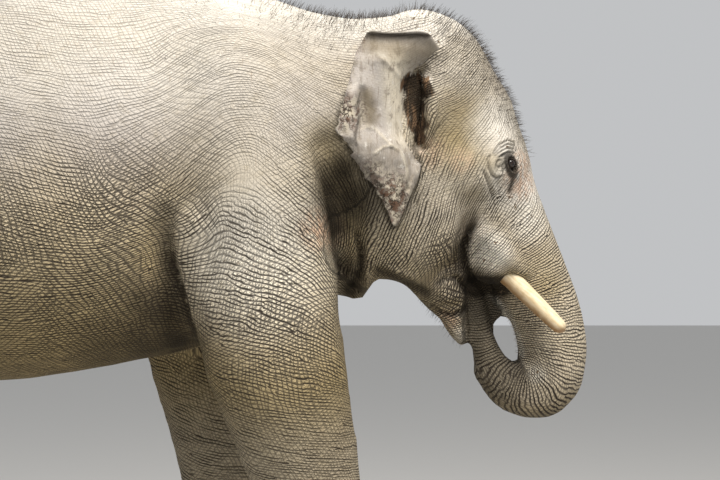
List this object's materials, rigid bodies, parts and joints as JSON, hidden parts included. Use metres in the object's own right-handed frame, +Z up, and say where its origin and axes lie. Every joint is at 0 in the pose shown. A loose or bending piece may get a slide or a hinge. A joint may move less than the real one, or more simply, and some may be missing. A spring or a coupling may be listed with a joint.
{
  "type": "asian elephant",
  "caption": "Still, life-size bull Asian elephant standing with one forefoot advanced, short tusks, and the trunk curled up to the mouth.",
  "frame": {"origin": "middle of the outline seen from above, at the level of the soles", "axes": "+X towards the head, +Y to the animal's left, +Z up"},
  "size_m": [3.9442, 1.3202, 2.78],
  "materials": {
    "hide": "dry, finely wrinkled, matt",
    "ivory": "worn satin",
    "nail_horn": "dull horn",
    "wet_eye": "wet",
    "bristle": "coarse dark hair"
  },
  "bodies": {
    "root": {"torso": "hide", "neck": "hide", "head": "hide", "lower_jaw": "hide", "trunk_upper": "hide", "trunk_bend": "hide", "trunk_tip": "hide", "tail": "hide", "tail_tuft": "bristle", "ear_right": "hide", "tusk_right": "ivory", "eye_right": "wet_eye", "ear_left": "hide", "tusk_left": "ivory", "eye_left": "wet_eye", "foreleg_right_upper": "hide", "foreleg_right_lower": "hide", "foreleg_right_foot": "hide", "foreleg_right_nail_1": "nail_horn", "foreleg_right_nail_2": "nail_horn", "foreleg_right_nail_3": "nail_horn", "foreleg_right_nail_4": "nail_horn", "foreleg_right_nail_5": "nail_horn", "foreleg_left_upper": "hide", "foreleg_left_lower": "hide", "foreleg_left_foot": "hide", "foreleg_left_nail_1": "nail_horn", "foreleg_left_nail_2": "nail_horn", "foreleg_left_nail_3": "nail_horn", "foreleg_left_nail_4": "nail_horn", "foreleg_left_nail_5": "nail_horn", "hindleg_right_upper": "hide", "hindleg_right_lower": "hide", "hindleg_right_foot": "hide", "hindleg_right_nail_1": "nail_horn", "hindleg_right_nail_2": "nail_horn", "hindleg_right_nail_3": "nail_horn", "hindleg_right_nail_4": "nail_horn", "hindleg_left_upper": "hide", "hindleg_left_lower": "hide", "hindleg_left_foot": "hide", "hindleg_left_nail_1": "nail_horn", "hindleg_left_nail_2": "nail_horn", "hindleg_left_nail_3": "nail_horn", "hindleg_left_nail_4": "nail_horn"}
  },
  "joints": []
}
